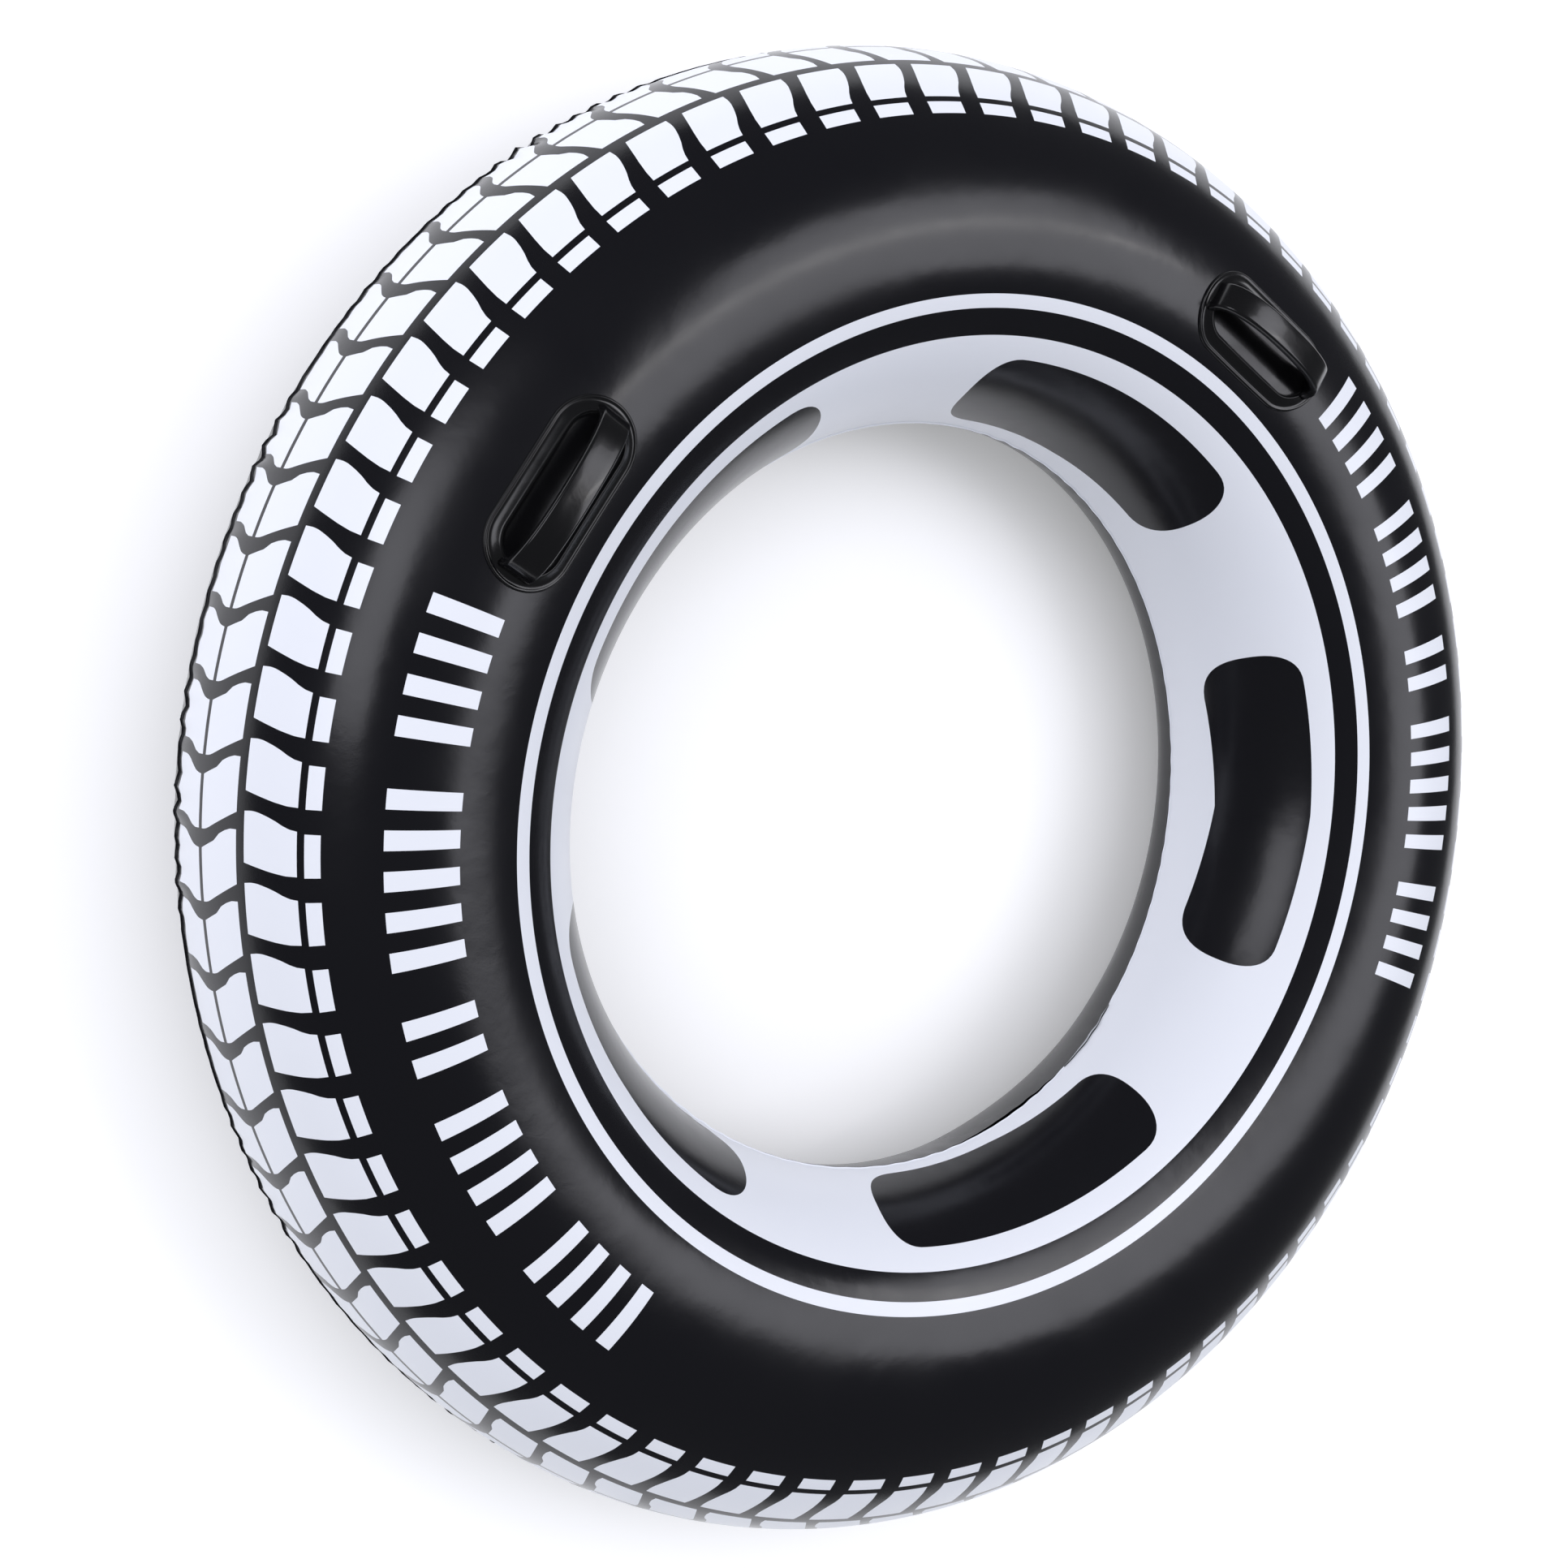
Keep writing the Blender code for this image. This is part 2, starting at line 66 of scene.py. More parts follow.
FRONT_LOW, FRONT_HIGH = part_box("front_sheet")
OUTER_MARGIN = 0.003                       # weld margin outside the outer seam, in the frame
INNER_MARGIN = 0.002                       # weld margin inside the inner seam, in the frame
LIP = 0.0013                               # how far the weld shows past the seams
FILM_SHIFT = 0.0004                        # of each film, away from the other one
RIM_RADIUS = FRONT_HIGH.x                  # edge of the outer weld margin
SEAM_RADIUS = RIM_RADIUS - OUTER_MARGIN
SEAM_HEIGHT = FRONT_LOW.z                  # where the two films meet
_reach = [math.hypot(v.co.x, v.co.y) for v in frame["nodes"]["front_sheet"].data.vertices]
HOLE_RADIUS = min(_reach) + INNER_MARGIN

# ------------------------------------------------------------------ the air-filled section

FREE_SHARE = 0.666                         # of the film, that air pressure alone shapes
WALL_LEAN = math.radians(84)               # slope of the film where it reaches the inner seam
WALL_TURN = 0.70                           # less turns the wall round the hole down sooner


def pressure_line(bend, outer, ds):
    """(radius, height) from the outer seam in, curved in proportion to the radius, as air shapes it."""
    radius, height, lean, points = outer, 0.0, 0.0, [(outer, 0.0)]
    while height >= 0.0 and radius > 0.05 and len(points) < 20000:
        middle = lean + 0.5 * bend * radius * ds
        lean += bend * radius * ds
        radius -= math.sin(middle) * ds
        height += math.cos(middle) * ds
        points.append((radius, height))
    return points


def free_film(outer, inner, ds):
    """The film as it would be if it ran freely to an inner seam at that radius."""
    low, high = 1.0 / (outer * (outer - inner)), 8.0 / (outer * (outer - inner))
    for _ in range(40):
        bend = 0.5 * (low + high)
        if pressure_line(bend, outer, 0.002)[-1][0] < inner:
            low = bend
        else:
            high = bend
    return pressure_line(bend, outer, ds)


def with_wall(points, ds):
    """The same film, pulled down to a steeper wall round the hole."""
    stop = round(FREE_SHARE * len(points))
    (radius, height), before = points[stop], points[stop - 1]
    lean, start = math.atan2(before[1] - height, before[0] - radius), height
    wall = list(points[:stop + 1])
    while height > 0.0:
        slope = lean + (WALL_LEAN - lean) * (1.0 - height / start) ** WALL_TURN
        step = min(ds, height / math.sin(slope))
        radius -= math.cos(slope) * step
        height -= math.sin(slope) * step
        if height < 1e-9:
            height = 0.0
        wall.append((radius, height))
    return wall


def film_section(outer, hole, steps=700):
    """(arc, radius, height) of one film at equal steps from the outer seam to the inner one."""
    low, high = 0.5 * hole, hole
    for _ in range(16):
        inner = 0.5 * (low + high)
        if with_wall(free_film(outer, inner, 0.002), 0.002)[-1][0] < hole:
            low = inner
        else:
            high = inner
    line = np.array(with_wall(free_film(outer, inner, 0.0002), 0.0002))
    arc = np.concatenate([[0.0], np.cumsum(np.hypot(*np.diff(line, axis=0).T))])
    even = np.linspace(0.0, arc[-1], steps + 1)
    return even, np.interp(even, arc, line[:, 0]), np.interp(even, arc, line[:, 1])


ARC, SECTION_R, SECTION_Z = film_section(SEAM_RADIUS, HOLE_RADIUS)
FILM_ARC = ARC[-1]


def smooth(t):
    t = np.clip(t, 0.0, 1.0)
    return t * t * (3.0 - 2.0 * t)


def wave(u, c1=0.0, s1=0.0, c2=0.0, s2=0.0):
    return c1 * np.cos(u) + s1 * np.sin(u) + c2 * np.cos(2 * u) + s2 * np.sin(2 * u)


def near(u, centre, inner, outer):
    """1 within inner radians of the angle centre, falling smoothly to 0 at outer radians from it."""
    gap = np.abs((u - centre + math.pi) % (2 * math.pi) - math.pi)
    return smooth((outer - gap) / (outer - inner))


VALVE_ANGLE = math.radians(-75.0)

# How far a soft ring is from round and level, in metres: cos u, sin u, cos 2u, sin 2u and a constant
OUTER_RADIUS_WAVE, OUTER_SHRINK = (-0.0122, -0.0049, -0.0097), 0.0025
INNER_RADIUS_WAVE = (-0.0093, 0.0057, 0.0009, 0.0061)
LEVEL_WAVE = (0.0, 0.0, -0.0115)
INNER_LEVEL_WAVE, INNER_SINK = (-0.0107, -0.0032), 0.0090
CREST_WAVE = (0.0031, 0.0087, 0.0068)
CREST_SHARE = 0.47                         # of the film, from the outer seam to the crest
RIM_PUCKERS = (13, 9, 165, 250)            # seed, number of waves, fewest and most round the ring


def puckers(u, seed, count, lowest, highest):
    """A sum of waves round the ring, all whole numbers of waves, about +-1 in size."""
    rng = np.random.default_rng(seed)
    numbers = rng.integers(lowest, highest, count)
    phases = rng.uniform(0, 2 * math.pi, count)
    sizes = rng.uniform(0.4, 1.0, count)
    total = sum(s * np.sin(n * u + p) for n, p, s in zip(numbers, phases, sizes))
    return total / math.sqrt(0.5 * np.sum(sizes ** 2)) * 0.6


def surface(u, arc, side=1.0):
    """Points of a film at angle u and arc (arrays of one shape). side is 1 above the seams, -1 below."""
    u, arc = np.broadcast_arrays(np.asarray(u, float), np.asarray(arc, float))
    inside = np.clip(arc, 0.0, FILM_ARC)
    t = inside / FILM_ARC
    radius = np.interp(inside, ARC, SECTION_R)
    height = np.interp(inside, ARC, SECTION_Z)
    outer_share = smooth(1.0 - t / CREST_SHARE)
    inner_share = smooth((t - CREST_SHARE) / 0.53)
    calm = 1.0 - near(u, VALVE_ANGLE, 0.07, 0.40) * smooth((inside - 0.012) / 0.055) * (side < 0)

    # a soft ring is never quite round or level
    radius = radius + calm * outer_share * (wave(u, *OUTER_RADIUS_WAVE) - OUTER_SHRINK)
    radius = radius + inner_share * wave(u, *INNER_RADIUS_WAVE)
    swell = np.sin(math.pi * t)
    level = wave(u, *LEVEL_WAVE) + inner_share * (wave(u, *INNER_LEVEL_WAVE) - INNER_SINK)
    level = level * (1.0 - smooth(swell / 0.9) * (side < 0))
    rise = swell * wave(u, *CREST_WAVE) * (side > 0)

    # the films pucker where they are welded to each other
    outer_fade = np.exp(-((inside / 0.016) ** 1.5))
    inner_fade = np.exp(-(((FILM_ARC - inside) / 0.014) ** 1.5))
    rim_wave = puckers(u, 11, 9, 165, 250) * (0.55 + 0.45 * puckers(u, 12, 4, 3, 14))
    hole_wave = puckers(u, 21, 9, 70, 125) * (0.6 + 0.4 * puckers(u, 22, 4, 2, 9))
    radius = radius + outer_fade * 0.0016 * rim_wave
    radius = radius - inner_fade * 0.0003 * hole_wave
    ripple = np.exp(-(((inside - 0.012) / 0.011) ** 2))
    lift = side * 0.0007 * ripple * puckers(u, *RIM_PUCKERS)
    ripple = np.exp(-(((FILM_ARC - inside - 0.012) / 0.011) ** 2))
    lift = lift + side * 0.0002 * ripple * hole_wave

    # the weld margins lie flat beyond the seams
    past = np.maximum(-arc, 0.0)
    short = np.maximum(arc - FILM_ARC, 0.0)
    radius = radius + past - short
    height = side * height + level * calm + rise + lift
    flutter = past / LIP * 0.0004 * puckers(u, 31, 5, 100, 190)
    flutter = flutter + short / LIP * 0.0003 * puckers(u, 32, 5, 60, 110)
    height = height + flutter
    return np.stack([radius * np.cos(u), radius * np.sin(u), SEAM_HEIGHT + height], axis=-1)


def pressed_on_ground(points):
    """What would reach below the ground is pressed flat on it."""
    low = points[..., 2]
    bed = 0.004
    points[..., 2] = np.where(low < bed, bed * np.exp(np.minimum(low - bed, 0.0) / bed), low)
    return points


def surface_normals(u, arc, side):
    step = 0.0006
    du = surface(u + step, arc, side) - surface(u - step, arc, side)
    da = surface(u, arc + step, side) - surface(u, arc - step, side)
    normals = np.cross(da, du) * side
    normals /= np.maximum(np.linalg.norm(normals, axis=-1, keepdims=True), 1e-12)
    return normals


# ------------------------------------------------------------------ the valve's frame

joints = {j["name"]: j for j in frame["joints"]}
VALVE_OUT = Vector(joints["neck_pull"]["axis"]).normalized()
VALVE_ACROSS = Vector(joints["flap_swing"]["axis"]).normalized()
VALVE_ALONG = VALVE_ACROSS.cross(VALVE_OUT).normalized()


def in_valve(points):
    """Node vertices as (along, across, out) from the world origin, in the valve's directions."""
    axes = np.array([VALVE_ALONG, VALVE_ACROSS, VALVE_OUT])
    return np.array(points) @ axes.T


_flange = in_valve([v.co for v in frame["nodes"]["valve_flange"].data.vertices])
_middle = 0.5 * (_flange.min(0) + _flange.max(0))
# middle of the flange's underside
VALVE_SEAT = (VALVE_ALONG * float(_middle[0]) + VALVE_ACROSS * float(_middle[1])
              + VALVE_OUT * float(_flange[:, 2].min()))
VALVE_FRAME = Matrix((VALVE_ALONG, VALVE_ACROSS, VALVE_OUT)).transposed().to_4x4()
VALVE_FRAME.translation = VALVE_SEAT


SEAT_FLAT, SEAT_FADE = 0.022, 0.030        # the film is flat this far from the axis, then fades
SEAT_DEPTH = 0.03                          # only film this near the seat is drawn to it
SEAT_GAP = 0.0003                          # between the film and the flange's underside
SEAT_HOLE = 0.0145                         # edge of the film's hole, hidden under the flange
SEAT_SNAP = 0.0045                         # points this near the hole's edge are moved onto it


def seat_for_valve(points):
    """The film is drawn flat under the flange, and runs smoothly back to its own shape."""
    local = in_valve(points.reshape(-1, 3) - np.array(VALVE_SEAT))
    reach = np.hypot(local[:, 0], local[:, 1])
    share = smooth((SEAT_FLAT + SEAT_FADE - reach) / SEAT_FADE) * (np.abs(local[:, 2]) < SEAT_DEPTH)
    local[:, 2] += share * (-SEAT_GAP - local[:, 2])
    held = (reach < SEAT_HOLE) & (reach > 1e-9) & (share > 0)
    edge = held & (reach > SEAT_HOLE - SEAT_SNAP)
    snap = np.where(edge, SEAT_HOLE / np.maximum(reach, 1e-9), 1.0)
    local[:, :2] *= snap[:, None]
    axes = np.array([VALVE_ALONG, VALVE_ACROSS, VALVE_OUT])
    moved = local @ axes + np.array(VALVE_SEAT)
    inside = held & ~edge
    return moved.reshape(points.shape), inside.reshape(points.shape[:-1])


# ------------------------------------------------------------------ mesh helpers


def new_object(name, data):
    ob = bpy.data.objects.new(name, data)
    bpy.context.scene.collection.objects.link(ob)
    return ob


def mesh_object(name, points, faces, materials, indices=None, normals=None):
    mesh = bpy.data.meshes.new(name)
    mesh.from_pydata([tuple(p) for p in points], [], [tuple(f) for f in faces])
    for material in materials:
        mesh.materials.append(material)
    if indices is not None:
        mesh.polygons.foreach_set("material_index", np.asarray(indices, np.int32))
    mesh.polygons.foreach_set("use_smooth", np.ones(len(mesh.polygons), bool))
    mesh.update()
    if normals is not None:
        mesh.normals_split_custom_set_from_vertices([tuple(n) for n in normals])
    return new_object(name, mesh)


def closed_up(ob, distance):
    """Merges points this near each other, and turns every face outwards."""
    bm = bmesh.new()
    bm.from_mesh(ob.data)
    bmesh.ops.remove_doubles(bm, verts=bm.verts, dist=distance)
    bmesh.ops.recalc_face_normals(bm, faces=bm.faces)
    bm.to_mesh(ob.data)
    bm.free()
    return ob


def ring_grid(rows, columns):
    """Quads of a grid that closes round the ring, in vertex order row by row."""
    r, c = np.meshgrid(np.arange(rows - 1), np.arange(columns), indexing="ij")
    n = (c + 1) % columns
    a, b = r * columns + c, r * columns + n
    return np.stack([a, b, b + columns, a + columns], axis=-1)


# ------------------------------------------------------------------ the tyre print
# Arcs are in millimetres from the outer seam. A pitch is one block and one groove of the tread.

MM = 0.001
PITCHES = 75
GROOVE_COLUMNS = 4
BLOCK_COLUMNS = 8
COLUMNS_PER_PITCH = GROOVE_COLUMNS + BLOCK_COLUMNS
COLUMNS = PITCHES * COLUMNS_PER_PITCH
PITCH = 2 * math.pi / PITCHES
FIRST_GROOVE = math.radians(73.638)

PRINT_EDGE = 7.6                       # the print starts here, short of the seam
PRINT_EDGE_RAGGED = 0.0008             # metres; the puckered edge makes its line uneven
SHOULDER = (PRINT_EDGE, 40.5)          # outermost blocks
OUTER_BLOCKS = (44.1, 77.5)
INNER_BLOCKS = (83.9, 121.7)
EDGE_BLOCKS = (126.6, 137.1)           # the short blocks next to the sidewall
MARKS = (176.6, 227.2)                 # upright bars on the sidewall
LINE = (269.6, 280.5)                  # the white line
DISC_START = 302.5                     # the white wheel disc runs from here to the inner seam
# The print is not centred on the ring: near the hole it sits off to one side by this, by arc
OFF_CENTRE_ARCS = (229.0, 269.6, 280.5, 302.5)
OFF_CENTRE = (0.0, 4.8, 6.3, 10.7)

# a groove's two sides: (arc, share of a pitch from the groove's middle line)
GROOVE_LOW = [(0, .07), (18, .075), (25, .115), (31, .21), (35.5, .245), (46, .243), (50, .225),
              (77.5, -.065), (83.9, -.378), (92, -.331), (104.5, -.261), (114, -.221),
              (121.7, -.212), (126.6, -.197), (137.1, -.2)]
GROOVE_HIGH = [(0, .28), (18, .29), (23, .32), (33, .47), (37, .5), (43, .512), (57.6, .371),
               (59.6, .325), (62, .273), (67, .217), (72, .179), (77.5, .178), (83.9, -.094),
               (90, -.105), (94.5, -.089), (101, -.045), (107, .009), (111.4, .062),
               (116.5, .108), (121.7, .13), (126.6, .163), (137.1, .163)]

# the five dark windows of the wheel disc: middle and half span in degrees, outer and inner arc
WINDOWS = [(54.9, 23.0, 317.0, 403.3), (126.1, 24.1, 326.6, 412.0), (199.2, 23.5, 333.6, 415.0),
           (269.4, 24.4, 321.8, 410.0), (343.75, 24.5, 307.8, 380.9)]
WINDOW_CORNER = 0.034                  # metres along the window over which its corners round
WINDOW_POWER = 2.4

# bars on the sidewall: from where to where each set runs, in degrees, and the bars of each group
BAR_SETS = [(146.2, 214.5), (323.8, 395.7)]
BAR_GROUPS = (4, 5, 2, 4, 4)


def tread_twist(u):
    """The print's tread is not laid quite evenly round the ring."""
    return np.radians(wave(u, -0.154, -1.671, -0.882, -0.458))


def uneven(u):
    placed = u.copy()
    for _ in range(20):
        placed = u + tread_twist(placed)
    return placed


def off_centre(arc_mm):
    """Arcs in metres, all round the ring, of a printed circle nominally at this arc."""
    shift = np.interp(arc_mm, OFF_CENTRE_ARCS, OFF_CENTRE)
    return (arc_mm + shift * wave(PLAIN_ANGLES, -1.0, 0.1)) * MM


def window_arcs(u):
    """Outer and inner arc of the window band at angle u, in metres."""
    middles = np.radians([w[0] for w in WINDOWS])
    outer = np.interp(u, middles, [w[2] * MM for w in WINDOWS], period=2 * math.pi)
    inner = np.interp(u, middles, [w[3] * MM for w in WINDOWS], period=2 * math.pi)
    return outer, inner


COLUMN = np.arange(COLUMNS)
PLAIN_ANGLES = FIRST_GROOVE + PITCH * (COLUMN / COLUMNS_PER_PITCH - 0.2)


def tread_angles(arc_mm):
    pitch, place = COLUMN // COLUMNS_PER_PITCH, COLUMN % COLUMNS_PER_PITCH
    low = np.interp(arc_mm, *zip(*GROOVE_LOW))
    high = np.interp(arc_mm, *zip(*GROOVE_HIGH))
    in_groove = low + (high - low) * place / GROOVE_COLUMNS
    in_block = high + (1.0 + low - high) * (place - GROOVE_COLUMNS) / BLOCK_COLUMNS
    share = np.where(place < GROOVE_COLUMNS, in_groove, in_block)
    return uneven(FIRST_GROOVE + PITCH * (pitch + share))


def column_at(degrees):
    """The column nearest an angle, counted without wrapping from the first one."""
    turn = math.radians(degrees) - PLAIN_ANGLES[0]
    return round(turn / (PITCH / COLUMNS_PER_PITCH))


WINDOW_COLUMNS = [(column_at(m - h), column_at(m + h)) for m, h, _, _ in WINDOWS]


def window_angles(v, share=1.0):
    """Angles of the columns where v runs from -1, a window's outer edge, to 1, its inner edge."""
    stops, shifts = [], []
    cut = 1.0 - max(0.0, 1.0 - abs(v) ** WINDOW_POWER) ** (1.0 / WINDOW_POWER)
    for (low, high), (middle, half, outer, inner) in zip(WINDOW_COLUMNS, WINDOWS):
        arc = (0.5 * (outer + inner) + 0.5 * v * (inner - outer)) * MM
        corner = cut * WINDOW_CORNER / np.interp(arc, ARC, SECTION_R)
        for column, end, sign in ((low, middle - half, 1.0), (high, middle + half, -1.0)):
            plain = PLAIN_ANGLES[0] + column * PITCH / COLUMNS_PER_PITCH
            stops.append(column)
            shifts.append(share * (math.radians(end) + sign * corner - plain))
        stops.append(0.5 * (low + high))
        shifts.append(0.0)
    return PLAIN_ANGLES + np.interp(COLUMN, stops, shifts, period=COLUMNS)


def spread(start, end, step):
    count = max(1, round(abs(end - start) / step))
    return list(np.linspace(start, end, count + 1))


def printed_rows():
    """Rows of the front film from the outer edge in: (angles, arcs, kind of the strip after it)."""
    rows = []

    def tread(start, end, step, kind):
        for arc in spread(start, end, step)[:-1]:
            rows.append((tread_angles(max(arc, 0.0)), np.full(COLUMNS, arc * MM), kind))

    ragged = PRINT_EDGE_RAGGED * puckers(PLAIN_ANGLES, *RIM_PUCKERS)
    for arc, wavy in ((-1e3 * LIP, 0.0), (-0.6e3 * LIP, 0.0), (0.0, 0.0),
                      (1.6, 0.2), (3.4, 0.5), (5.2, 0.8)):
        rows.append((tread_angles(0.0), arc * MM + wavy * ragged, "black"))
    for past, wavy in ((0.0, 1.0), (2.4, 0.8), (4.8, 0.5), (7.2, 0.2)):
        arc = PRINT_EDGE + past
        rows.append((tread_angles(arc), arc * MM + wavy * ragged, "blocks"))
    tread(PRINT_EDGE + 9.6, SHOULDER[1], 2.4, "blocks")
    tread(SHOULDER[1], OUTER_BLOCKS[0], 1.9, "black")
    tread(*OUTER_BLOCKS, 2.6, "blocks")
    tread(OUTER_BLOCKS[1], INNER_BLOCKS[0], 2.2, "black")
    tread(*INNER_BLOCKS, 2.6, "blocks")
    tread(INNER_BLOCKS[1], EDGE_BLOCKS[0], 2.5, "black")
    tread(*EDGE_BLOCKS, 3.5, "blocks")
    last = tread_angles(EDGE_BLOCKS[1])
    for arc in spread(EDGE_BLOCKS[1], MARKS[0], 5.0)[:-1]:
        share = smooth((arc - EDGE_BLOCKS[1]) / (MARKS[0] - EDGE_BLOCKS[1]))
        rows.append((last + share * (PLAIN_ANGLES - last), np.full(COLUMNS, arc * MM), "black"))
    for start, end, step, kind in ((*MARKS, 5.0, "bars"), (MARKS[1], LINE[0], 5.3, "black"),
                                   (*LINE, 3.6, "white"), (LINE[1], DISC_START, 4.4, "black")):
        for arc in spread(start, end, step)[:-1]:
            rows.append((PLAIN_ANGLES, off_centre(arc), kind))
    outer, inner = window_arcs(PLAIN_ANGLES)
    disc = off_centre(DISC_START)
    for t in np.linspace(0.0, 1.0, 6)[:-1]:
        rows.append((window_angles(-1.0, smooth(t)), disc + t * (outer - disc), "white"))
    for turn in np.linspace(math.pi, 0.0, 27):
        v = math.cos(turn)
        arcs = 0.5 * (outer + inner) + 0.5 * v * (inner - outer)
        rows.append((window_angles(v), arcs, "windows" if turn > 0 else "white"))
    for t in np.linspace(0.0, 1.0, 14)[1:]:
        rows.append((window_angles(1.0, smooth(1.0 - t)), inner + t * (FILM_ARC - inner), "white"))
    rows.append((PLAIN_ANGLES, np.full(COLUMNS, FILM_ARC + LIP), "white"))
    return rows


def bar_columns():
    """Which columns are ink in the marks' band: groups of upright bars, two sets of them."""
    ink = np.zeros(COLUMNS, bool)
    wide, gap, group_gap = 4, 4, 6
    total = sum(BAR_GROUPS) * (wide + gap) + (len(BAR_GROUPS) - 1) * group_gap - gap
    for low, high in BAR_SETS:
        column = column_at(0.5 * (low + high)) - total // 2
        for group in BAR_GROUPS:
            for _ in range(group):
                ink[np.arange(column, column + wide) % COLUMNS] = True
                column += wide + gap
            column += group_gap
    return ink


def window_faces():
    black = np.zeros(COLUMNS, bool)
    for low, high in WINDOW_COLUMNS:
        black[np.arange(low, high) % COLUMNS] = True
    return black


# ------------------------------------------------------------------ materials


def new_material(name, colour, roughness, coat=0.0):
    material = bpy.data.materials.new(name)
    material.use_nodes = True
    shader = material.node_tree.nodes["Principled BSDF"]
    shader.inputs["Base Color"].default_value = (*colour, 1.0)
    shader.inputs["Roughness"].default_value = roughness
    shader.inputs["IOR"].default_value = 1.53
    shader.inputs["Coat Weight"].default_value = coat
    shader.inputs["Coat Roughness"].default_value = 0.06
    return material, material.node_tree, shader


def noise(tree, scale, detail, stretch=(1.0, 1.0, 1.0), distortion=0.0):
    where = tree.nodes.new("ShaderNodeTexCoord")
    mapping = tree.nodes.new("ShaderNodeMapping")
    mapping.inputs["Scale"].default_value = stretch
    texture = tree.nodes.new("ShaderNodeTexNoise")
    texture.inputs["Scale"].default_value = scale
    texture.inputs["Detail"].default_value = detail
    texture.inputs["Distortion"].default_value = distortion
    tree.links.new(where.outputs["Object"], mapping.inputs["Vector"])
    tree.links.new(mapping.outputs["Vector"], texture.inputs["Vector"])
    return texture.outputs["Fac"]


def between(tree, value, low, high, start=0.3, end=0.7):
    """value from start to end becomes low to high."""
    ranged = tree.nodes.new("ShaderNodeMapRange")
    ranged.inputs["From Min"].default_value = start
    ranged.inputs["From Max"].default_value = end
    ranged.inputs["To Min"].default_value = low
    ranged.inputs["To Max"].default_value = high
    tree.links.new(value, ranged.inputs["Value"])
    return ranged.outputs["Result"]


def bumped(tree, shader, layers):
    """Bump layers, each (height, distance in metres, strength), one on another."""
    normal = None
    for height, distance, strength in layers:
        bump = tree.nodes.new("ShaderNodeBump")
        bump.inputs["Distance"].default_value = distance
        bump.inputs["Strength"].default_value = strength
        tree.links.new(height, bump.inputs["Height"])
        if normal is not None:
            tree.links.new(normal, bump.inputs["Normal"])
        normal = bump.outputs["Normal"]
    tree.links.new(normal, shader.inputs["Normal"])


def film_material(name, colour, smoothest, roughest, grain=1.0):
    """Soft vinyl film: a faint orange peel, slow waves from the stretch, cloudy gloss."""
    material, tree, shader = new_material(name, colour, smoothest)
    clouds = noise(tree, 9.0, 4.0, distortion=0.6)
    tree.links.new(between(tree, clouds, smoothest, roughest), shader.inputs["Roughness"])
    bumped(tree, shader, [
        (noise(tree, 16.0, 2.0), 0.0030, 0.16),
        (noise(tree, 75.0, 3.0, distortion=0.3), 0.0006, 0.14),
        (noise(tree, 900.0, 2.0), 0.00005, 0.30 * grain),
    ])
    return material


def moulded_material():
    """High-gloss moulded vinyl, with the flow marks and rubbed places of a soft moulding."""
    material, tree, shader = new_material("moulded_vinyl_black", (0.0032, 0.0032, 0.0038), 0.2, 0.25)
    flow = noise(tree, 22.0, 3.0, (1.0, 1.0, 0.6), 0.8)
    tree.links.new(between(tree, flow, 0.15, 0.30), shader.inputs["Roughness"])
    bumped(tree, shader, [
        (flow, 0.0012, 0.16),
        (noise(tree, 260.0, 2.0), 0.0001, 0.22),
    ])
    return material


def valve_material():
    """Milky soft vinyl, a little clearer where it is thin."""
    material, tree, shader = new_material("valve_vinyl_milky", (0.62, 0.66, 0.68), 0.25)
    milk = noise(tree, 140.0, 3.0)
    ramp = tree.nodes.new("ShaderNodeValToRGB")
    ramp.color_ramp.elements[0].position = 0.3
    ramp.color_ramp.elements[0].color = (0.55, 0.60, 0.63, 1.0)
    ramp.color_ramp.elements[1].position = 0.7
    ramp.color_ramp.elements[1].color = (0.70, 0.74, 0.76, 1.0)
    tree.links.new(milk, ramp.inputs["Fac"])
    tree.links.new(ramp.outputs["Color"], shader.inputs["Base Color"])
    tree.links.new(between(tree, milk, 0.20, 0.34), shader.inputs["Roughness"])
    shader.inputs["Subsurface Weight"].default_value = 0.35
    shader.inputs["Subsurface Radius"].default_value = (0.004, 0.005, 0.006)
    shader.inputs["Subsurface Scale"].default_value = 0.6
    bumped(tree, shader, [(noise(tree, 420.0, 2.0), 0.0001, 0.25)])
    return material


BLACK_FILM = film_material("film_black", (0.0042, 0.0042, 0.0062), 0.17, 0.25)
WHITE_INK = film_material("ink_white", (0.74, 0.76, 0.82), 0.30, 0.42, 0.6)
BACK_FILM = film_material("film_black_plain", (0.0040, 0.0040, 0.0050), 0.18, 0.30)
MOULDED = moulded_material()
VALVE_VINYL = valve_material()


# ------------------------------------------------------------------ the two films


def front_film():
    rows = printed_rows()
    angles = np.array([r[0] for r in rows])
    arcs = np.array([r[1] for r in rows])
    points = surface(angles, arcs, 1.0)
    points[..., 2] += FILM_SHIFT
    normals = surface_normals(angles, arcs, 1.0)
    faces = ring_grid(len(rows), COLUMNS)[..., ::-1]
    block = (COLUMN % COLUMNS_PER_PITCH) >= GROOVE_COLUMNS
    bars, windows = bar_columns(), window_faces()
    always = np.ones(COLUMNS, bool)
    ink = {"blocks": block, "black": ~always, "white": always, "bars": bars, "windows": ~windows}
    indices = np.array([ink[r[2]] for r in rows[:-1]]).astype(np.int32)
    ob = mesh_object("printed_film", points.reshape(-1, 3), faces.reshape(-1, 4),
                     [BLACK_FILM, WHITE_INK], indices.ravel(), normals.reshape(-1, 3))
    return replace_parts(ob, "front_sheet")


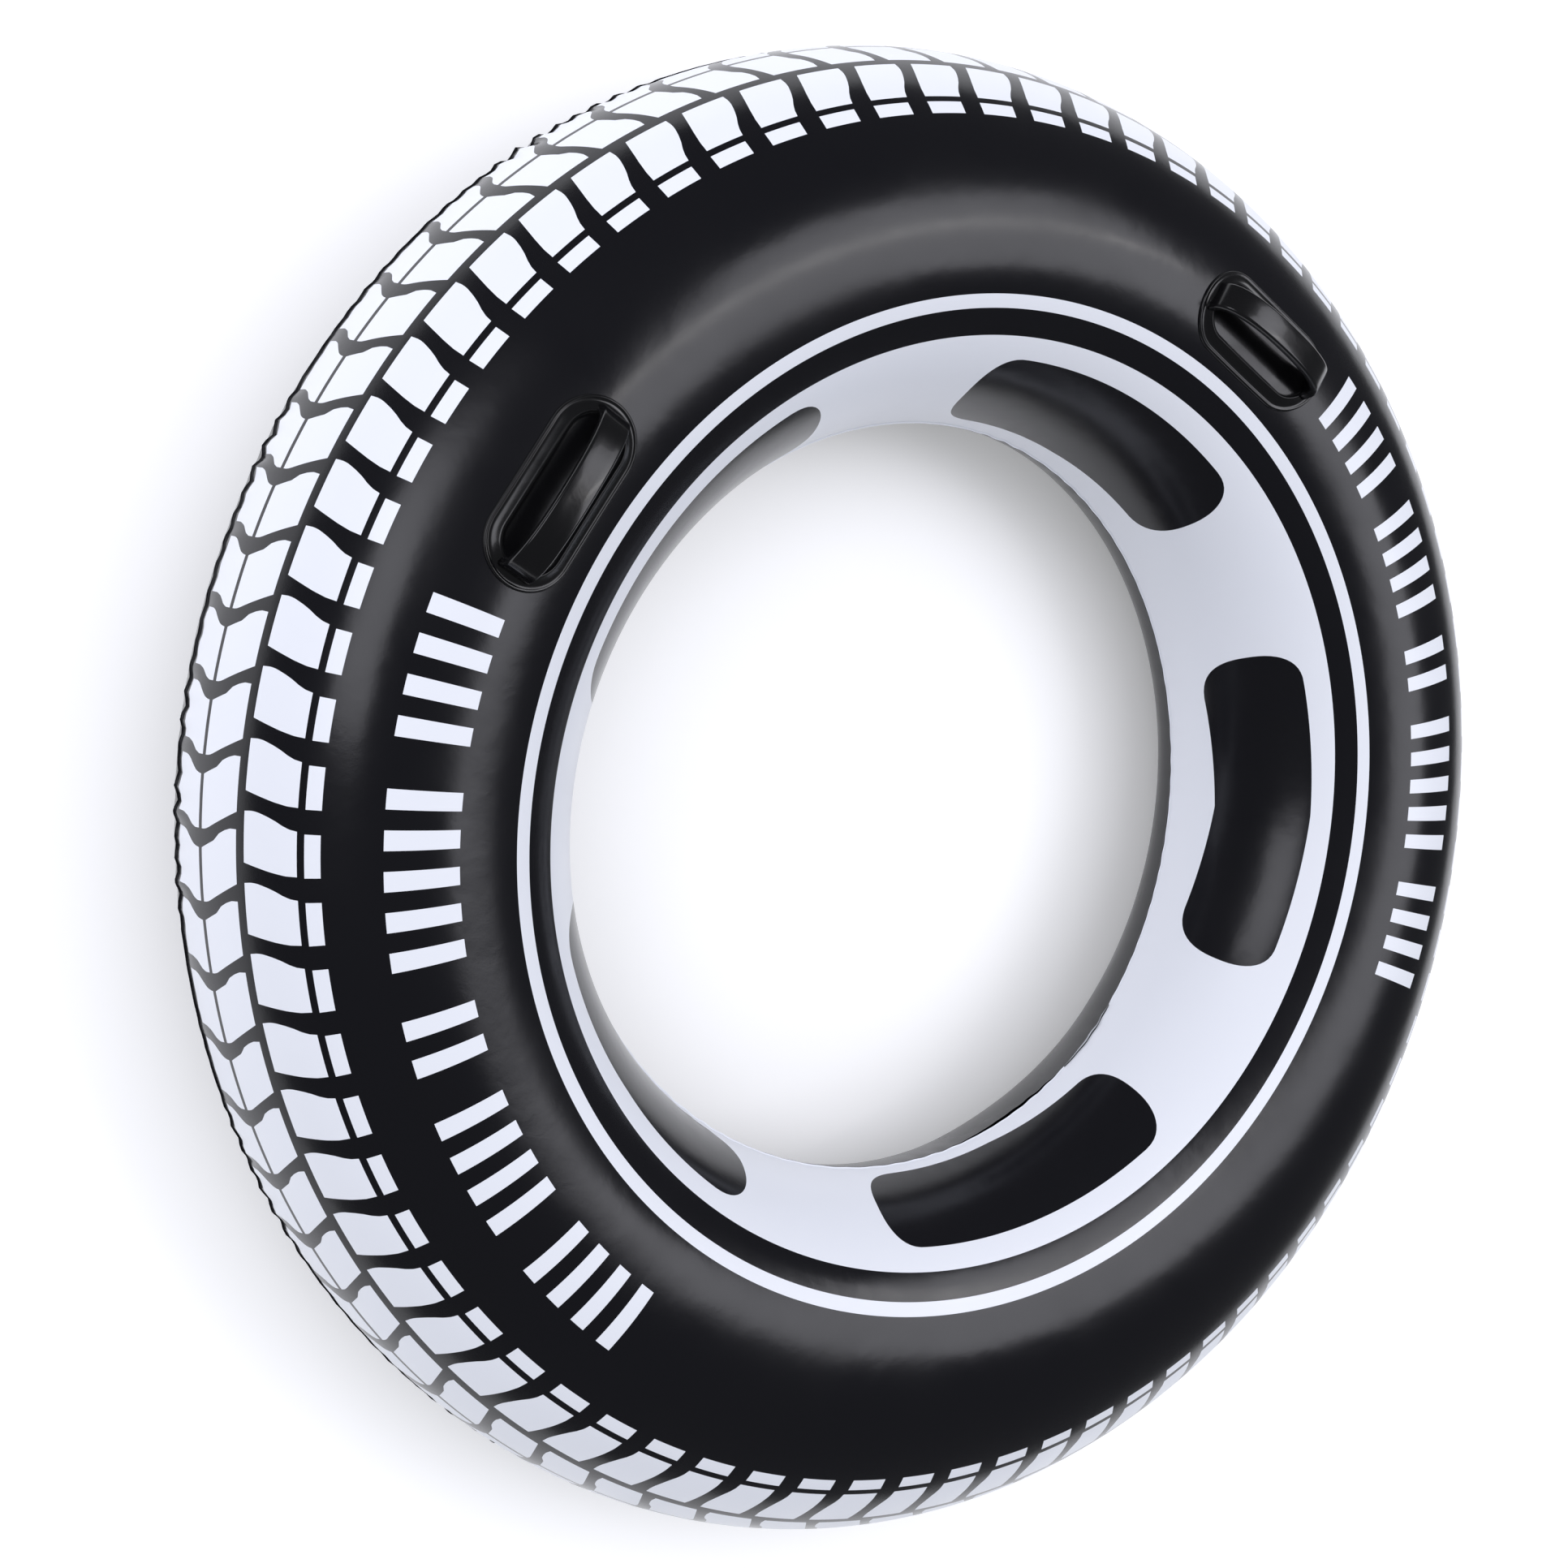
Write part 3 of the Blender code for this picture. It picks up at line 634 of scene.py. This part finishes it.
def back_film():
    end = 1e3 * FILM_ARC
    rows = [-1e3 * LIP, -0.6e3 * LIP] + spread(0.0, 22.0, 3.2) + spread(22.0, end - 22.0, 6.2)[1:]
    rows = [r * MM for r in rows + spread(end - 22.0, end, 3.2)[1:] + [end + 1e3 * LIP]]
    arcs = np.array(rows)[:, None] * np.ones((1, COLUMNS))
    seam = smooth(1.0 - arcs / 0.03)
    angles = PLAIN_ANGLES[None] + seam * (tread_angles(0.0) - PLAIN_ANGLES)[None]
    points = surface(angles, arcs, -1.0)
    points[..., 2] -= FILM_SHIFT
    points = pressed_on_ground(points)
    points, inside = seat_for_valve(points)
    faces = ring_grid(len(rows), COLUMNS).reshape(-1, 4)
    faces = faces[~inside.ravel()[faces].any(axis=1)]
    ob = mesh_object("back_film", points.reshape(-1, 3), faces, [BACK_FILM])
    bm = bmesh.new()
    bm.from_mesh(ob.data)
    bmesh.ops.delete(bm, geom=[v for v in bm.verts if not v.link_faces], context="VERTS")
    bm.to_mesh(ob.data)
    bm.free()
    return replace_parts(ob, "back_sheet")


# ------------------------------------------------------------------ the handles


def film_top(x, y):
    """Height of the printed face over plan positions (x, y)."""
    x, y = np.asarray(x, float), np.asarray(y, float)
    u, reach = np.arctan2(y, x), np.hypot(x, y)
    low, high = np.zeros_like(reach), np.full_like(reach, FILM_ARC)
    for _ in range(36):
        arc = 0.5 * (low + high)
        place = surface(u, arc)
        outside = np.hypot(place[..., 0], place[..., 1]) > reach
        low, high = np.where(outside, arc, low), np.where(outside, high, arc)
    return surface(u, 0.5 * (low + high))[..., 2] + FILM_SHIFT


PLATE_LENGTH, PLATE_WIDTH = 0.142, 0.066
# the plate's section from its edge in: (distance from the edge, height above the film), in mm
PLATE_PROFILE = [(0.3, -0.5), (0.0, 0.4), (0.15, 1.1), (0.6, 1.7), (1.3, 1.9), (2.1, 1.7), (2.7, 1.35),
                 (3.4, 1.25), (4.4, 1.35), (5.6, 1.7), (7.0, 2.35), (8.2, 3.05), (9.2, 3.7),
                 (9.9, 4.15), (10.4, 4.3), (10.8, 4.15), (11.1, 3.7), (11.35, 3.0), (11.6, 2.1),
                 (11.95, 1.4), (12.5, 1.1), (14.5, 1.0), (18.0, 1.0), (24.0, 1.0), (30.0, 1.0),
                 (32.85, 1.0)]
GRIP_HALF_WIDTH, GRIP_HALF_THICKNESS, GRIP_ROUNDING = 0.0105, 0.0035, 0.0021
GRIP_REACH, GRIP_TOP = 0.0635, 0.032


def stadium_ring(inset, straight, rounded):
    """Points of the plate's outline, inset by so much, in the same order for every inset."""
    radius = 0.5 * PLATE_WIDTH - inset
    reach = 0.5 * (PLATE_LENGTH - PLATE_WIDTH)
    ring = []
    for sign in (1.0, -1.0):
        for i in range(rounded):
            turn = math.pi * (i / rounded - 0.5)
            ring.append((sign * (reach + radius * math.cos(turn)), sign * radius * math.sin(turn)))
        for i in range(straight):
            ring.append((sign * reach * (1.0 - 2.0 * i / straight), sign * radius))
    return ring


def grip_section():
    """(across, up) round the grip's section, its corners rounded."""
    section = []
    w, h, r = GRIP_HALF_WIDTH, GRIP_HALF_THICKNESS, GRIP_ROUNDING
    for cx, cz, start in ((w - r, h - r, 0), (r - w, h - r, 90), (r - w, r - h, 180), (w - r, r - h, 270)):
        for i in range(7):
            turn = math.radians(start + 90 * i / 6)
            section.append((cx + r * math.cos(turn), cz + r * math.sin(turn)))
        nx, nz = {0: (r - w, h), 90: (-w, r - h), 180: (w - r, -h), 270: (w, h - r)}[start]
        px, pz = section[-1]
        for t in (0.25, 0.5, 0.75):
            section.append((px + t * (nx - px), pz + t * (nz - pz)))
    return section


def grip_line(steps=72):
    """Its outer and its inner line, as pairs of (along, up) from foot to foot."""
    line = []
    for i in range(steps + 1):
        turn = math.pi * i / steps
        lean = math.cos(turn)
        sides = []
        for reach, top in ((GRIP_REACH, GRIP_TOP), (GRIP_REACH - 0.007, GRIP_TOP - 0.007)):
            along = reach * math.copysign(abs(lean) ** 0.85, lean)
            sides.append((along, 0.0008 + (top - 0.0008) * max(0.0, math.sin(turn)) ** 0.7))
        line.append(sides)
    return line


def make_handle(name, node, material):
    low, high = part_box(node)
    middle = 0.5 * (low + high)
    angle = math.atan2(middle.y, middle.x)
    out = np.array([math.cos(angle), math.sin(angle)])
    along = np.array([-math.sin(angle), math.cos(angle)])
    verts = np.array([v.co[:2] for v in frame["nodes"][node].data.vertices])
    reach = verts @ out
    centre = out * 0.5 * (reach.min() + reach.max())
    points, faces = [], []

    rings = [stadium_ring(inset * MM, 30, 34) for inset, _ in PLATE_PROFILE]
    count = len(rings[0])
    for ring, (_, up) in zip(rings, PLATE_PROFILE):
        plan = centre + np.outer([p[0] for p in ring], along) + np.outer([p[1] for p in ring], out)
        top = film_top(plan[:, 0], plan[:, 1]) + up * MM
        points += [(x, y, z) for (x, y), z in zip(plan, top)]
    for k in range(len(rings) - 1):
        for i in range(count):
            j = (i + 1) % count
            faces.append((k * count + i, k * count + j, (k + 1) * count + j, (k + 1) * count + i))

    base = len(points)
    section, line = grip_section(), grip_line()
    crown = float(film_top(centre[0], centre[1]))
    for (x0, z0), (x1, z1) in line:
        thick = math.hypot(x0 - x1, z0 - z1)
        ux, uz = (x0 - x1) / thick, (z0 - z1) / thick
        flare = 1.0 + 0.28 * math.exp(-max(0.0, z0) / 0.006)
        swell = 1.0 + 0.05 * math.sin(math.pi * min(1.0, z0 / GRIP_TOP))
        for across, up in section:
            x = 0.5 * (x0 + x1) + ux * up * thick / (2 * GRIP_HALF_THICKNESS)
            z = 0.5 * (z0 + z1) + uz * up * thick / (2 * GRIP_HALF_THICKNESS)
            plan = centre + along * x + out * across * flare * swell
            points.append((plan[0], plan[1], crown + z))
    ring = len(section)
    for k in range(len(line) - 1):
        for i in range(ring):
            j = (i + 1) % ring
            a = base + k * ring
            faces.append((a + i, a + j, a + ring + j, a + ring + i))
    for k, flip in ((0, False), (len(line) - 1, True)):
        cap = [base + k * ring + i for i in range(ring)]
        faces.append(cap if flip else cap[::-1])
    ob = closed_up(mesh_object(name, points, faces, [material]), 0.0003)
    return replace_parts(ob, node)


# ------------------------------------------------------------------ the valve


def lathe(name, profile, steps=72, closed=False):
    """Turns (radius, up) round the valve's axis."""
    points, faces = [], []
    for i in range(steps):
        turn = 2 * math.pi * i / steps
        points += [(r * math.cos(turn), r * math.sin(turn), z) for r, z in profile]
    n = len(profile)
    for i in range(steps):
        a, b = i * n, ((i + 1) % steps) * n
        for k in range(n if closed else n - 1):
            m = (k + 1) % n
            faces.append((a + k, b + k, b + m, a + m))
    return finish_valve_piece(name, points, faces)


def strip(name, line, width, thickness):
    """A flat strap along (along, up) points, rounded at its edges."""
    points, faces = [], []
    half, thick, edge = 0.5 * width, 0.5 * thickness, 0.35 * thickness
    shape = [(-half, thick - edge), (-half + edge, thick), (half - edge, thick), (half, thick - edge),
             (half, edge - thick), (half - edge, -thick), (-half + edge, -thick), (-half, edge - thick)]
    for x, z in line:
        points += [(x, across, z + up) for across, up in shape]
    n = len(shape)
    for k in range(len(line) - 1):
        for i in range(n):
            j = (i + 1) % n
            faces.append((k * n + i, k * n + j, (k + 1) * n + j, (k + 1) * n + i))
    faces.append(tuple(range(n))[::-1])
    faces.append(tuple((len(line) - 1) * n + i for i in range(n)))
    return finish_valve_piece(name, points, faces)


def finish_valve_piece(name, points, faces):
    placed = [VALVE_FRAME @ Vector(p) for p in points]
    ob = closed_up(mesh_object(name, placed, faces, [VALVE_VINYL]), 0.00001)
    return ob


def node_span(node):
    """Lowest and highest (along, across, out) of a valve node, from the flange's underside."""
    local = in_valve([v.co - VALVE_SEAT for v in frame["nodes"][node].data.vertices])
    return [float(x) for x in local.min(0)], [float(x) for x in local.max(0)]


def make_valve():
    flange = lathe("valve_flange_ring", [
        (0.0116, -0.0004), (0.0115, 0.0004), (0.0115, 0.0020), (0.01165, 0.0023), (0.0120, 0.0024),
        (0.0124, 0.0023), (0.0127, 0.0020), (0.0129, 0.0015), (0.0134, 0.0012), (0.0148, 0.0012),
        (0.0150, 0.00105), (0.0152, 0.0012), (0.0164, 0.0012), (0.0166, 0.00105), (0.0168, 0.0012),
        (0.0174, 0.0011), (0.0178, 0.0008), (0.0180, 0.0003), (0.0179, -0.0001), (0.0172, -0.0003),
        (0.0140, -0.0003)], closed=True)
    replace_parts(flange, "valve_flange")
    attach(flange, "ring")

    (_, _, neck_low), (_, _, neck_high) = node_span("valve_neck")
    neck = lathe("valve_neck_tube", [
        (0.0054, neck_low + 0.0004), (0.0058, neck_low), (0.0076, neck_low), (0.0080, neck_low + 0.0004),
        (0.0080, neck_high - 0.0030), (0.00775, neck_high - 0.0024), (0.00775, neck_high - 0.0018),
        (0.0080, neck_high - 0.0012), (0.0080, neck_high - 0.0005), (0.0077, neck_high - 0.0001),
        (0.0072, neck_high), (0.0061, neck_high), (0.0056, neck_high - 0.0002),
        (0.0054, neck_high - 0.0006), (0.0054, 0.5 * (neck_low + neck_high))], closed=True)
    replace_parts(neck, "valve_neck")
    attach(neck, "neck")

    seat = neck_high + 0.0002
    plug = lathe("valve_plug_cap", [
        (0.0, seat - 0.0080), (0.0040, seat - 0.0080), (0.0047, seat - 0.0077), (0.0052, seat - 0.0068),
        (0.0052, seat - 0.0045), (0.0050, seat - 0.0042), (0.0052, seat - 0.0039), (0.0052, seat),
        (0.0070, seat), (0.0074, seat + 0.0003), (0.0075, seat + 0.0008), (0.0073, seat + 0.0013),
        (0.0068, seat + 0.0016), (0.0056, seat + 0.0016), (0.0052, seat + 0.0013), (0.0020, seat + 0.0012),
        (0.0, seat + 0.0012)])
    tab = strip("valve_plug_tab", [
        (0.0066, seat + 0.0006), (0.0080, seat + 0.0007), (0.0095, seat + 0.0009),
        (0.0108, seat + 0.0011), (0.0118, seat + 0.0012), (0.0120, seat + 0.0012)], 0.0060, 0.0011)
    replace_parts(plug, "valve_plug")
    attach(plug, "plug")
    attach(tab, "plug")

    (_, _, sleeve_low), _ = node_span("valve_sleeve")
    line = []
    for i in range(25):
        t = i / 24
        radius = 0.0083 + (0.0112 - 0.0083) * smooth(t / 0.85)
        line.append((float(radius), sleeve_low + t * (0.0010 - sleeve_low)))
    wall = [(r + 0.0005, z) for r, z in line[::-1]]
    sleeve = lathe("valve_sleeve_web", [(r - 0.0001, z) for r, z in line] + wall, closed=True)
    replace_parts(sleeve, "valve_sleeve")
    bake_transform(sleeve)

    lip = 0.0024 + 0.0005
    outer = strip("valve_tether_outer", [
        (-0.0168, 0.0016), (-0.0158, 0.0017), (-0.0148, 0.0019), (-0.0138, 0.0023), (-0.0130, lip),
        (-0.0122, lip + 0.0003), (-0.0114, lip + 0.0005), (-0.0106, lip + 0.0006), (-0.0098, lip + 0.0007),
        (-0.0092, lip + 0.0007), (-0.0086, lip + 0.0007)], 0.0030, 0.0008)
    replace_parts(outer, "valve_tether")
    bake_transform(outer)
    steps = [(-0.0089 + 0.0016 * i / 16, lip + 0.0007) for i in range(17)]
    inner = strip("valve_tether_inner", steps + [(-0.0070, seat + 0.0008), (-0.0066, seat + 0.0008)],
                  0.0030, 0.0008)
    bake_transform(inner)

    (fx, _, flap_bottom), (gx, _, flap_top) = node_span("valve_flap")
    radius, centre = 0.5 * (gx - fx), 0.5 * (gx + fx)
    flap = lathe("valve_flap_disc", [
        (0.0, flap_bottom), (radius - 0.0003, flap_bottom), (radius, flap_bottom + 0.0002),
        (radius, flap_top - 0.0002), (radius - 0.0003, flap_top), (0.0, flap_top)])
    flap.data.transform(Matrix.Translation(VALVE_ALONG * float(centre)))
    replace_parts(flap, "valve_flap")
    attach(flap, "flap")


# ------------------------------------------------------------------ build

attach(front_film(), "ring")
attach(back_film(), "ring")
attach(make_handle("left_grab_handle", "left_handle", MOULDED), "ring")
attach(make_handle("right_grab_handle", "right_handle", MOULDED), "ring")
make_valve()

# ------------------------------------------------------------------ floor, light and camera


def studio_floor():
    mesh = bpy.data.meshes.new("studio_floor")
    size = 14.0
    mesh.from_pydata([(-size, -size, 0), (size, -size, 0), (size, size, 0), (-size, size, 0)], [],
                     [(0, 1, 2, 3)])
    material, tree, shader = new_material("floor_pale", (0.93, 0.93, 0.94), 0.7)
    shader.inputs["Specular IOR Level"].default_value = 0.1
    shader.inputs["Emission Color"].default_value = (1.0, 1.0, 1.0, 1.0)
    shader.inputs["Emission Strength"].default_value = 0.22
    tree.links.new(between(tree, noise(tree, 3.0, 2.0), 0.66, 0.74), shader.inputs["Roughness"])
    mesh.materials.append(material)
    floor = new_object("studio_floor", mesh)


def softbox(name, azimuth, elevation, distance, width, height, power, colour=(1.0, 1.0, 1.0)):
    """A rectangular light that faces the ring from that direction, in degrees."""
    a, e = math.radians(azimuth), math.radians(elevation)
    direction = Vector((math.cos(a) * math.cos(e), math.sin(a) * math.cos(e), math.sin(e)))
    data = bpy.data.lights.new(name, "AREA")
    data.shape = "RECTANGLE"
    data.size, data.size_y = width, height
    data.energy = power
    data.color = colour
    light = new_object(name, data)
    light.location = direction * distance + Vector((0, 0, 0.15))
    light.rotation_euler = direction.to_track_quat("Z", "Y").to_euler()
    return light


def facing_light(name, azimuth, elevation, distance, width, height, radiance, colour, shown):
    """A softbox of that radiance. If shown is false, it does not appear in what is glossy."""
    power = radiance * math.pi * width * height
    light = softbox(name, azimuth, elevation, distance, width, height, power, colour)
    light.visible_glossy = shown
    return light


COOL, NEUTRAL = (0.93, 0.93, 1.0), (1.0, 0.97, 0.93)
# name, azimuth and elevation in degrees, distance, width, height, radiance, colour, shown in gloss
LIGHTS = [
    ("softbox_top", -3, 59, 3.6, 2.5, 1.7, 2.4, COOL, True),
    ("strip_top", 4, 61, 3.5, 0.16, 1.5, 4.0, NEUTRAL, True),
    ("softbox_left", 144, 49, 3.4, 1.7, 1.2, 2.4, COOL, True),
    ("fill_left", 122, 28, 4.0, 2.4, 1.6, 3.2, COOL, False),
    ("fill_top", 90, 72, 4.5, 3.0, 3.0, 1.4, COOL, False),
]
studio_floor()
for light in LIGHTS:
    facing_light(*light)

world = bpy.data.worlds.new("studio_world")
world.use_nodes = True
sky = world.node_tree.nodes["Background"]
sky.inputs["Color"].default_value = (0.94, 0.96, 1.0, 1.0)
rays = world.node_tree.nodes.new("ShaderNodeLightPath")
dimmed = world.node_tree.nodes.new("ShaderNodeMapRange")
dimmed.inputs["To Min"].default_value = 0.62     # what the room adds as light
dimmed.inputs["To Max"].default_value = 0.10     # what shows of it in gloss
world.node_tree.links.new(rays.outputs["Is Glossy Ray"], dimmed.inputs["Value"])
world.node_tree.links.new(dimmed.outputs["Result"], sky.inputs["Strength"])
bpy.context.scene.world = world
bpy.context.scene.view_settings.view_transform = "Standard"

camera_data = bpy.data.cameras.new("camera")
camera_data.lens = 40.68
camera_data.sensor_width = 36.0
camera_data.shift_x = 0.0036
camera_data.shift_y = -0.0145
camera_data.clip_end = 60.0
camera = new_object("camera", camera_data)
camera.location = (-0.7343, 0.3732, 1.3547)
camera.rotation_euler = [math.radians(a) for a in (-6.896, -28.371, -12.111)]
bpy.context.scene.camera = camera
